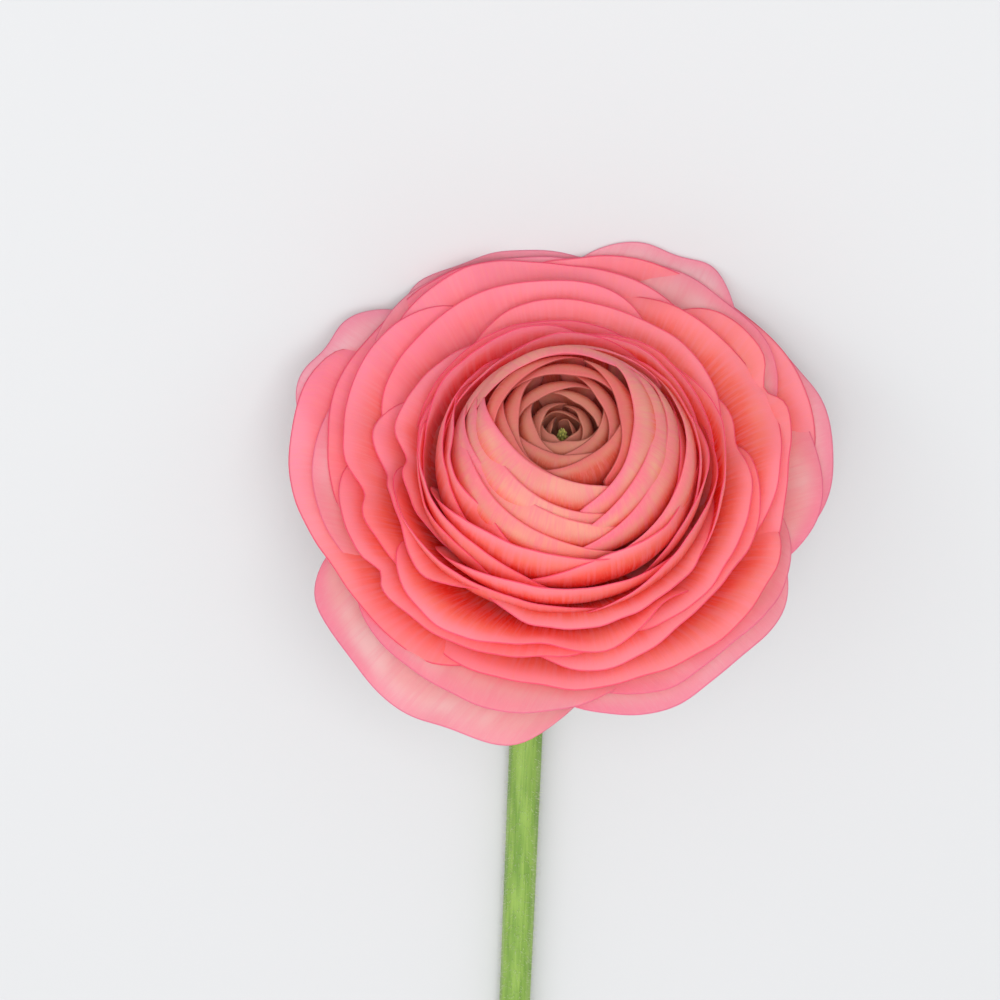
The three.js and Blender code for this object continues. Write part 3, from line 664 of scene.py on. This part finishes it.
# Share of the patches in the green's mottling, between which values of it dark turns to light,
# and where streaks and the rim are paler
PATCH_SHARE = 0.6
LIGHT_FROM = (0.36, 0.64)
GREEN_STREAKS_FROM = (0.55, 0.8, 0.0, 0.3)
GREEN_RIM = (0.0, 1.0, 0.8, 0.0)
GREEN_RELIEF = (0.3, 0.0003)
GREEN_ROUGHNESS = (0.3, 0.7, 0.42, 0.6)


def green_noise(tree, across, along, noise):
    """Noise over a green part, with one of the settings above."""
    run = calc(tree, "MULTIPLY", along, noise["stretch"])
    return spot(tree, across, run, noise["place"], scale=noise["scale"], detail=noise["detail"])


def green_material(name, look):
    """Green plant tissue with veins along it and a paler rim."""
    made = new_material(name)
    tree = made.node_tree
    from_rim = value_of(tree, "from_rim")
    along = value_of(tree, "along")
    across = value_of(tree, "across")
    patches = green_noise(tree, across, along, GREEN_PATCHES)
    veins = green_noise(tree, across, along, GREEN_VEINS)
    streaks = green_noise(tree, across, along, GREEN_STREAKS)
    veined = calc(tree, "MULTIPLY", veins, 1.0 - PATCH_SHARE)
    mottled = calc(tree, "MULTIPLY_ADD", patches, PATCH_SHARE, veined)
    body = blend(tree, smooth(tree, mottled, *LIGHT_FROM), look["dark"], look["light"])
    body = blend(tree, smooth(tree, streaks, *GREEN_STREAKS_FROM), body, look["rim"])
    colour = blend(tree, smooth(tree, from_rim, *GREEN_RIM), body, look["rim"])
    surface = add(
        tree, "ShaderNodeBsdfPrincipled",
        {
            "Base Color": colour, "Normal": relief(tree, veins, streaks, *GREEN_RELIEF),
            "Roughness": smooth(tree, streaks, *GREEN_ROUGHNESS),
            "Specular IOR Level": 0.35, "Sheen Weight": 0.1, "Sheen Roughness": 0.4,
        },
    )
    add(tree, "ShaderNodeOutputMaterial", {"Surface": surface.outputs[0]})
    return made


def petals():
    """One piece for each whorl."""
    everything = petal_list()
    looks = {key: petal_material(f"{key}_petal_look", look) for key, look in PETAL_LOOKS.items()}
    plan = [
        ("petals_young", "young", "heart", "inner_petal", "inner_petals"),
        ("petals_heart", "heart", "heart", "inner_petal", "inner_petals"),
        ("petals_dome", "dome", "dome", "inner_petal", "inner_petals"),
        ("petals_cup", "cup", "coral", "coral_petal", "coral_petals"),
        ("petals_open", "open", "coral", "coral_petal", "coral_petals"),
        ("petals_guard", "guard", "guard", "guard_petal", "guard_petals"),
    ]
    for name, whorl, look, slot, node in plan:
        solids = [petal_solid(petal) for petal in everything if petal["name"] == whorl]
        piece(name, joined(solids), looks[look], slot, node)


petals()


# Stem, sepals and carpels

# The stem from its neck under the bloom to its cut end. The solid that it stands for has twelve
# sides, and its flat underside lies this share of its radius below its middle.
STEM_FACET = math.cos(math.pi / 12)
NECK_RADIUS = 3.1
STEM_RADIUS = 2.9
STEM_END_RADIUS = 2.7
NECK_TOP = -5.0
NECK_SWELL = 0.45
NECK_SWELL_POWER = 12
LYING_START = (-5.3, -38.0)
CUT_END = (-8.6, -128.0)
NECK_HANDLE = 13.0
LYING_HANDLE = 17.0
NECK_STEPS = 48
LYING_STEPS = 110
STEM_SIDES = 64

# The stem's ridges, how far they wind from one ring to the next, and its hollow pith as a share
# of its radius and a depth
STEM_RIDGES = 11
RIDGE_DEPTH = 0.03
RIDGE_DRIFT = 0.012
RIDGE_SWING = 0.5
RIDGE_SWING_STEP = 0.07
PITH_RADIUS = 0.45
PITH_DEPTH = 1.6
PITH_STEP = 0.7

# The receptacle's outline as height and radius on the bloom's axis, wide enough to hold the
# roots of all petals
RECEPTACLE = [
    (12.4, 0.05), (12.3, 1.0), (11.8, 1.95), (9.9, 2.75), (7.6, 3.3), (4.6, 3.9),
    (2.2, 4.5), (0.0, 4.95), (-1.6, 5.0), (-3.2, 4.4), (-4.2, 3.75),
]
RECEPTACLE_STEPS = 40

# The sepals, which bend back from the petals
SEPAL_COUNT = 5
SEPAL_AZIMUTH = 20.0
SEPAL_ROOT = (3.4, -2.6)
SEPAL_LENGTH = 14.0
SEPAL_HALF_WIDTH = 5.4
SEPAL_SAG = 6.0
SEPAL_CUP = 0.8
SEPAL_SIDES_SHORTER = 0.12
SEPAL_OUTLINE = (0.22, 0.76)
SEPAL_ROUNDNESS = 0.8
SEPAL_THICKNESS = 0.5
SEPAL_RIM_THICKNESS = 0.2
SEPAL_SUNK = 0.08
SEPAL_ROWS = 32
SEPAL_COLS = 28

# The cluster of carpels: a spindle inside, and beaked carpels set round it at the golden angle
EYE_BASE = 12.4
EYE_TOP = 22.6
EYE_LEAN = (-0.6, 2.2)
EYE_RADIUS = 1.25
EYE_FOOT = 0.6
EYE_WIDENING = 0.8
EYE_TIP = 0.02
SPINDLE_RADIUS = 0.85
SPINDLE_BELOW_TOP = 0.4
SPINDLE_STEPS = 16
SPINDLE_SIDES = 20
CARPEL_COUNT = 84
CARPEL_LENGTH = 0.95
CARPEL_RADIUS = 0.27
CARPEL_BELLY = 0.75
CARPEL_TAPER = 0.55
CARPEL_FOOT = 0.8
CARPEL_LEAN = (0.42, 0.25)
LEAST_CARPEL_FOOT = 0.35
BEAK_PALENESS = 1.6
CARPEL_STEPS = 8
CARPEL_SIDES = 8
LOWEST_CARPEL = 0.3
HIGHEST_CARPEL = 0.9
BEAK_LENGTH = 1.1

# Noise of one carpel and of one hair lies this far from that of the next
CARPEL_NOISE_STEP = (3.7, 1.9)
HAIR_NOISE_STEP = 0.37

# A value for a point that is far from any rim
INSIDE = 5.0

# The stem's hairs, and a direction that none of them has
HAIR_COUNT = 5200
HAIR_LENGTH = (0.35, 1.1)
HAIR_RADIUS = 0.028
HAIR_SUNK = 0.05
HAIR_LEAN = 0.45
HAIR_CLEARANCE = 0.1
HAIR_SEED = 11
NO_HAIR_AXIS = (0.31, 0.52, 0.79)


def lofted(rings, first=None, last=None):
    """A closed solid through rings of points, with a point to close it at either end."""
    count, sides = rings.shape[:2]
    index = np.arange(count * sides).reshape(count, sides)
    after = np.roll(index, -1, axis=1)
    corners = [index[:-1], after[:-1], after[1:], index[1:]]
    faces = [np.stack(corners, -1).reshape(-1, 4)]
    points = [rings.reshape(-1, 3)]
    none = np.full(sides, -1)
    for close, ring, ahead in ((first, after[0], index[0]), (last, index[-1], after[-1])):
        centre = np.full(sides, sum(len(p) for p in points))
        faces.append(np.stack([centre, ring, ahead, none], -1))
        points.append(np.array([close]))
    return np.concatenate(points), np.concatenate(faces)


def bezier(points, t):
    """A point of a cubic curve and its unit direction there."""
    s = 1 - t
    first, second, third, fourth = (np.array(point) for point in points)
    place = s**3 * first + 3 * s * s * t * second + 3 * s * t * t * third + t**3 * fourth
    slope = s * s * (second - first) + 2 * s * t * (third - second) + t * t * (fourth - third)
    return place, slope / np.linalg.norm(slope)


def stem_stations():
    """Middle points, directions and radii from the receptacle's top to the cut end."""
    neck_top = tilted(np.array([0.0, 0.0, NECK_TOP]))
    down = tilted(np.array([0.0, 0.0, NECK_TOP - 1.0])) - neck_top
    lying = np.array([*LYING_START, STEM_RADIUS * STEM_FACET])
    end = np.array([*CUT_END, STEM_END_RADIUS * STEM_FACET])
    ahead = (end - lying) * [1, 1, 0]
    ahead = ahead / np.linalg.norm(ahead)
    neck = [neck_top, neck_top + NECK_HANDLE * down, lying - LYING_HANDLE * ahead, lying]
    heights, radii = zip(*reversed(RECEPTACLE))
    stations = []
    for height in np.linspace(RECEPTACLE[0][0], RECEPTACLE[-1][0], RECEPTACLE_STEPS):
        radius = np.interp(height, heights, radii)
        stations.append((tilted(np.array([0.0, 0.0, height])), down, radius))
    for share in np.linspace(0, 1, NECK_STEPS):
        place, direction = bezier(neck, share)
        radius = (NECK_RADIUS + share * (STEM_RADIUS - NECK_RADIUS)) * STEM_FACET
        swell = NECK_SWELL * (1 - share) ** NECK_SWELL_POWER
        stations.append((place, direction, radius + swell))
    for share in np.linspace(0, 1, LYING_STEPS + 1)[1:]:
        radius = (STEM_RADIUS + share * (STEM_END_RADIUS - STEM_RADIUS)) * STEM_FACET
        place = lying + share * (end - lying)
        place[2] = radius
        stations.append((place, ahead, radius))
    return stations


def stem_rings():
    """Rings of points along the ridged stem, and the directions outwards from its middle."""
    angle = 2 * np.pi * np.arange(STEM_SIDES) / STEM_SIDES
    rings = []
    normals = []
    for k, (centre, direction, radius) in enumerate(stem_stations()):
        side = np.array([1.0, 0.0, 0.0])
        side = side - (side @ direction) * direction
        side = side / np.linalg.norm(side)
        up = np.cross(direction, side)
        outwards = np.outer(np.sin(angle), side) - np.outer(np.cos(angle), up)
        wound = RIDGE_DRIFT * k + RIDGE_SWING * np.sin(RIDGE_SWING_STEP * k)
        ridge = 0.5 + 0.5 * np.cos(STEM_RIDGES * angle + wound)
        rings.append(centre + outwards * (radius * (1 - RIDGE_DEPTH * ridge))[:, None])
        normals.append(outwards)
    return np.array(rings), np.array(normals)


def stem_solid(rings):
    """The stem with the receptacle on top, and with the hollow pith at its cut end."""
    middle = rings[-1].mean(axis=0)
    inwards = rings[-2].mean(axis=0) - middle
    inwards = inwards / np.linalg.norm(inwards)
    pith = middle + PITH_RADIUS * (rings[-1] - middle)
    ends = [0.5 * (rings[-1] + pith), pith, pith + PITH_STEP * PITH_DEPTH * inwards]
    everything = np.concatenate([rings, ends])
    top = rings[0].mean(axis=0)
    points, faces = lofted(everything, top, middle + PITH_DEPTH * inwards)
    steps, sides = everything.shape[:2]
    length = np.linalg.norm(np.diff(rings.mean(axis=1), axis=0), axis=1).cumsum()
    along = np.concatenate([[0], length, np.full(len(ends), length[-1])])
    around = STEM_RADIUS * np.sin(2 * np.pi * np.arange(sides) / sides) * 2
    from_end = np.concatenate([np.full(steps - len(ends), INSIDE), np.zeros(len(ends))])
    values = {
        "along": np.append(np.repeat(along, sides), [0, length[-1]]),
        "across": np.append(np.tile(around, steps), [0, 0]),
        "from_rim": np.append(np.repeat(from_end, sides), [INSIDE, 0]),
    }
    return points, faces, values


def sepal_sheet(azimuth, u, v):
    """Points of a sepal's middle sheet, and its own coordinates."""
    angle = math.radians(azimuth)
    root_radius, root_height = SEPAL_ROOT
    from_root, to_tip = SEPAL_OUTLINE
    out = root_radius + SEPAL_LENGTH * v * (1 - SEPAL_SIDES_SHORTER * u * u)
    sag = root_height - SEPAL_SAG * np.sin(0.5 * np.pi * v) + SEPAL_CUP * u * u
    half = SEPAL_HALF_WIDTH * np.sin(np.pi * (from_root + to_tip * v)) ** SEPAL_ROUNDNESS
    x = out * math.cos(angle) - u * half * math.sin(angle)
    y = out * math.sin(angle) + u * half * math.cos(angle)
    own = {
        "from_rim": np.minimum((1 - np.abs(u)) * half, (1 - v) * SEPAL_LENGTH),
        "along": v * SEPAL_LENGTH,
        "across": u * half,
    }
    return tilted(np.stack([x, y, sag], -1)), own


def sepal_solid(number):
    """One sepal's points, faces and values for its material."""
    azimuth = SEPAL_AZIMUTH + 360 * number / SEPAL_COUNT
    u = np.linspace(-1, 1, SEPAL_COLS + 1)
    v = np.linspace(-SEPAL_SUNK, 1, SEPAL_ROWS + 1)
    v_grid, u_grid = np.meshgrid(v, u, indexing="ij")
    points, own = sepal_sheet(azimuth, u_grid, v_grid)
    grown = np.clip(own["from_rim"] / THICK_FROM, 0, 1)
    thickness = SEPAL_RIM_THICKNESS + (SEPAL_THICKNESS - SEPAL_RIM_THICKNESS) * grown
    points, faces = sheet_solid(points, thickness)
    return points, faces, {key: np.tile(value.reshape(-1), 2) for key, value in own.items()}


def eye_place(radius, angle, height):
    """A point of the eye, which leans as the petals round it do."""
    share = np.clip(height / LEAN_HEIGHT, 0, MOST_LEAN)
    x = radius * np.cos(angle) + EYE_LEAN[0] * share
    y = radius * np.sin(angle) + EYE_LEAN[1] * share
    return tilted(np.stack([x, y, height], -1))


def eye_radius(share):
    """Radius of the eye at a share of its height: narrower at its foot, rounded at its top."""
    foot = np.minimum(1, EYE_FOOT + EYE_WIDENING * share)
    top = np.sqrt(np.maximum(1 - share**3, EYE_TIP))
    return EYE_RADIUS * foot * top


def spindle_solid():
    """The axis that the carpels stand on."""
    share = np.linspace(0, 1, SPINDLE_STEPS + 1)[:, None]
    angle = 2 * np.pi * np.arange(SPINDLE_SIDES)[None, :] / SPINDLE_SIDES
    height = EYE_BASE + (EYE_TOP - SPINDLE_BELOW_TOP - EYE_BASE) * (1 - share) + 0 * angle
    rings = eye_place(SPINDLE_RADIUS * eye_radius(1 - share) + 0 * angle, angle, height)
    ends = [rings[0].mean(axis=0), rings[-1].mean(axis=0)]
    points, faces = lofted(rings, *ends)
    flat = np.zeros(len(points))
    return points, faces, {"along": flat, "across": flat, "from_rim": flat + INSIDE}


def carpel_solid(number):
    """One carpel: a small ovoid that leans outwards and ends in a beak."""
    share = (number + 0.5) / CARPEL_COUNT
    height = EYE_BASE + LOWEST_CARPEL + (EYE_TOP - HIGHEST_CARPEL - EYE_BASE) * share
    azimuth = math.radians(GOLDEN_ANGLE * number)
    step = np.linspace(0, 1, CARPEL_STEPS + 1)[1:-1, None]
    angle = 2 * np.pi * np.arange(CARPEL_SIDES)[None, :] / CARPEL_SIDES
    girth = CARPEL_RADIUS * np.sin(np.pi * step**CARPEL_BELLY) * (1 - CARPEL_TAPER * step**2)
    foot = eye_radius(share) * CARPEL_FOOT
    lean, bend = CARPEL_LEAN
    out = foot + (lean * step - bend * step**2) * (1 - share) + girth * np.cos(angle)
    aside = azimuth + girth * np.sin(angle) / max(foot, LEAST_CARPEL_FOOT)
    rings = eye_place(out, aside, height + CARPEL_LENGTH * step + 0 * angle)
    end_heights = height + CARPEL_LENGTH * np.array([0, BEAK_LENGTH])
    ends = eye_place(np.array([foot, foot]), np.full(2, azimuth), end_heights)
    points, faces = lofted(rings[::-1], ends[1], ends[0])
    along = np.append(np.repeat(CARPEL_LENGTH * step[::-1, 0], CARPEL_SIDES), [CARPEL_LENGTH, 0])
    along_step, across_step = CARPEL_NOISE_STEP
    values = {
        "along": along + along_step * number,
        "across": np.full(len(points), across_step * number),
        "from_rim": BEAK_PALENESS * (CARPEL_LENGTH - along),
    }
    return points, faces, values


def hair_solid(feet, directions, lengths):
    """Fine hairs as slim three-sided cones."""
    side = np.cross(directions, NO_HAIR_AXIS)
    side = side / np.linalg.norm(side, axis=1, keepdims=True)
    other = np.cross(directions, side)
    sunk = feet - HAIR_SUNK * directions
    turns = 2 * np.pi * np.arange(3) / 3
    corners = [sunk + HAIR_RADIUS * (math.cos(a) * side + math.sin(a) * other) for a in turns]
    points = np.stack([*corners, feet + directions * lengths[:, None]], 1)
    faces = np.array([[0, 1, 3, -1], [1, 2, 3, -1], [2, 0, 3, -1], [0, 2, 1, -1]])
    starts = 4 * np.arange(len(feet))[:, None, None]
    faces = np.where(faces[None] < 0, -1, faces[None] + starts).reshape(-1, 4)
    keys = np.repeat(np.arange(len(feet)) * HAIR_NOISE_STEP, 4)
    values = {"along": keys, "across": keys, "from_rim": np.full(4 * len(feet), INSIDE)}
    return points.reshape(-1, 3), faces, values


def stem_hairs(rings, normals):
    """Hairs all over the stem, but for those that would reach below the surface."""
    draws = np.random.default_rng(HAIR_SEED)
    ring = draws.integers(RECEPTACLE_STEPS, len(rings), HAIR_COUNT)
    side = draws.integers(0, STEM_SIDES, HAIR_COUNT)
    ahead = np.roll(rings.mean(axis=1), -1, axis=0)[ring] - rings.mean(axis=1)[ring]
    along = draws.uniform(-0.5, 0.5, (HAIR_COUNT, 1)) * (ring < len(rings) - 1)[:, None]
    feet = rings[ring, side] + along * ahead
    lengths = draws.uniform(*HAIR_LENGTH, HAIR_COUNT)
    lean = draws.uniform(-HAIR_LEAN, HAIR_LEAN, (HAIR_COUNT, 3))
    directions = normals[ring, side] + lean
    directions = directions / np.linalg.norm(directions, axis=1, keepdims=True)
    tips = feet + directions * lengths[:, None]
    clear = np.minimum(feet[:, 2], tips[:, 2]) > HAIR_CLEARANCE
    return hair_solid(feet[clear], directions[clear], lengths[clear])


def greens():
    """The stem with its sepals and hairs, and the eye."""
    rings, normals = stem_rings()
    stem_look = green_material("stem_look", STEM_LOOK)
    piece("stem_skin", stem_solid(rings), stem_look, "stem_green", "stem")
    sepals = [sepal_solid(number) for number in range(SEPAL_COUNT)]
    piece("sepals", joined(sepals), green_material("sepal_look", SEPAL_LOOK), "stem_green", "stem")
    hair_look = green_material("hair_look", HAIR_LOOK)
    piece("stem_hairs", stem_hairs(rings, normals), hair_look, "stem_green", "stem")
    carpels = [carpel_solid(number) for number in range(CARPEL_COUNT)]
    eye = joined([spindle_solid(), *carpels])
    piece("carpels", eye, green_material("carpel_look", CARPEL_LOOK), "eye_green", "eye")


greens()


# Floor, camera and light

FLOOR_SIZE = 6.0
FLOOR_GRAIN = 3.0
FLOOR_DARK = (0.50, 0.507, 0.517)
FLOOR_LIGHT = (0.512, 0.519, 0.529)
FLOOR_ROUGHNESS = 0.9


def floor():
    """A plain pale floor."""
    bpy.ops.mesh.primitive_plane_add(size=FLOOR_SIZE)
    made = bpy.context.object
    made.name = "floor"
    material = new_material("floor_look")
    tree = material.node_tree
    where = add(tree, "ShaderNodeTexCoord").outputs["Object"]
    grain = add(tree, "ShaderNodeTexNoise", {"Vector": where, "Scale": FLOOR_GRAIN}).outputs[0]
    colour = blend(tree, grain, FLOOR_DARK, FLOOR_LIGHT)
    inputs = {"Base Color": colour, "Roughness": FLOOR_ROUGHNESS}
    surface = add(tree, "ShaderNodeBsdfPrincipled", inputs)
    add(tree, "ShaderNodeOutputMaterial", {"Surface": surface.outputs[0]})
    made.data.materials.append(material)


floor()

# The camera looks down on the bloom as the photo does. The eye of the bloom lies at this pixel
# of a picture of 1000 by 1000, where one pixel is this many millimetres.
EYE_POINT = (-0.6, 2.0, 22.0)
EYE_PIXEL = (562.0, 432.0)
PICTURE_WIDTH = 1000.0
PIXEL_SIZE = 0.1515
CAMERA_LEAN = 18.0
CAMERA_DISTANCE = 450.0
SENSOR_WIDTH = 36.0
CLIP_START = 0.01


def camera():
    """A camera that leans back from straight above the bloom."""
    lean = math.radians(CAMERA_LEAN)
    right = np.array([1.0, 0.0, 0.0])
    up = np.array([0.0, math.cos(lean), -math.sin(lean)])
    back = np.array([0.0, math.sin(lean), math.cos(lean)])
    to_right = (EYE_PIXEL[0] - PICTURE_WIDTH / 2) * PIXEL_SIZE
    to_top = (PICTURE_WIDTH / 2 - EYE_PIXEL[1]) * PIXEL_SIZE
    target = tilted(np.array(EYE_POINT)) + SHIFT - to_right * right - to_top * up
    place = (target + back * CAMERA_DISTANCE) * MM
    data = bpy.data.cameras.new("camera")
    data.sensor_width = SENSOR_WIDTH
    data.lens = SENSOR_WIDTH * CAMERA_DISTANCE / (PICTURE_WIDTH * PIXEL_SIZE)
    data.clip_start = CLIP_START
    made = bpy.data.objects.new("camera", data)
    bpy.context.scene.collection.objects.link(made)
    turn = Matrix((right, up, back)).transposed().to_4x4()
    made.matrix_world = Matrix.Translation(Vector(place)) @ turn
    bpy.context.scene.camera = made


camera()

# Lights: their places and sizes in metres and their powers in watts, and the point they aim at
KEY_LIGHT = dict(place=(0.08, 0.2, 0.85), size=0.45, power=4.3)
FILL_LIGHT = dict(place=(-0.45, 0.0, 0.8), size=0.8, power=2.6)
LIGHT_AIM = (0.0, 0.05, 0.03)
WORLD_STRENGTH = 0.94

# Light is sent on many times between bright petals that lie close together
LIGHT_BOUNCES = 12


def area_light(name, place, size, power):
    """A square light that is turned to the bloom."""
    data = bpy.data.lights.new(name, "AREA")
    data.size = size
    data.energy = power
    made = bpy.data.objects.new(name, data)
    bpy.context.scene.collection.objects.link(made)
    made.location = place
    aim = Vector(LIGHT_AIM) - Vector(place)
    made.rotation_euler = aim.to_track_quat("-Z", "Y").to_euler()


def lights():
    """Soft studio light from above and from all round."""
    world = bpy.data.worlds.new("studio")
    bpy.context.scene.world = world
    world.use_nodes = True
    background = world.node_tree.nodes["Background"]
    background.inputs["Color"].default_value = (1.0, 1.0, 1.0, 1.0)
    background.inputs["Strength"].default_value = WORLD_STRENGTH
    area_light("key_light", **KEY_LIGHT)
    area_light("fill_light", **FILL_LIGHT)
    bpy.context.scene.view_settings.view_transform = "Standard"
    bpy.context.scene.cycles.diffuse_bounces = LIGHT_BOUNCES
    bpy.context.scene.cycles.max_bounces = 2 * LIGHT_BOUNCES


lights()
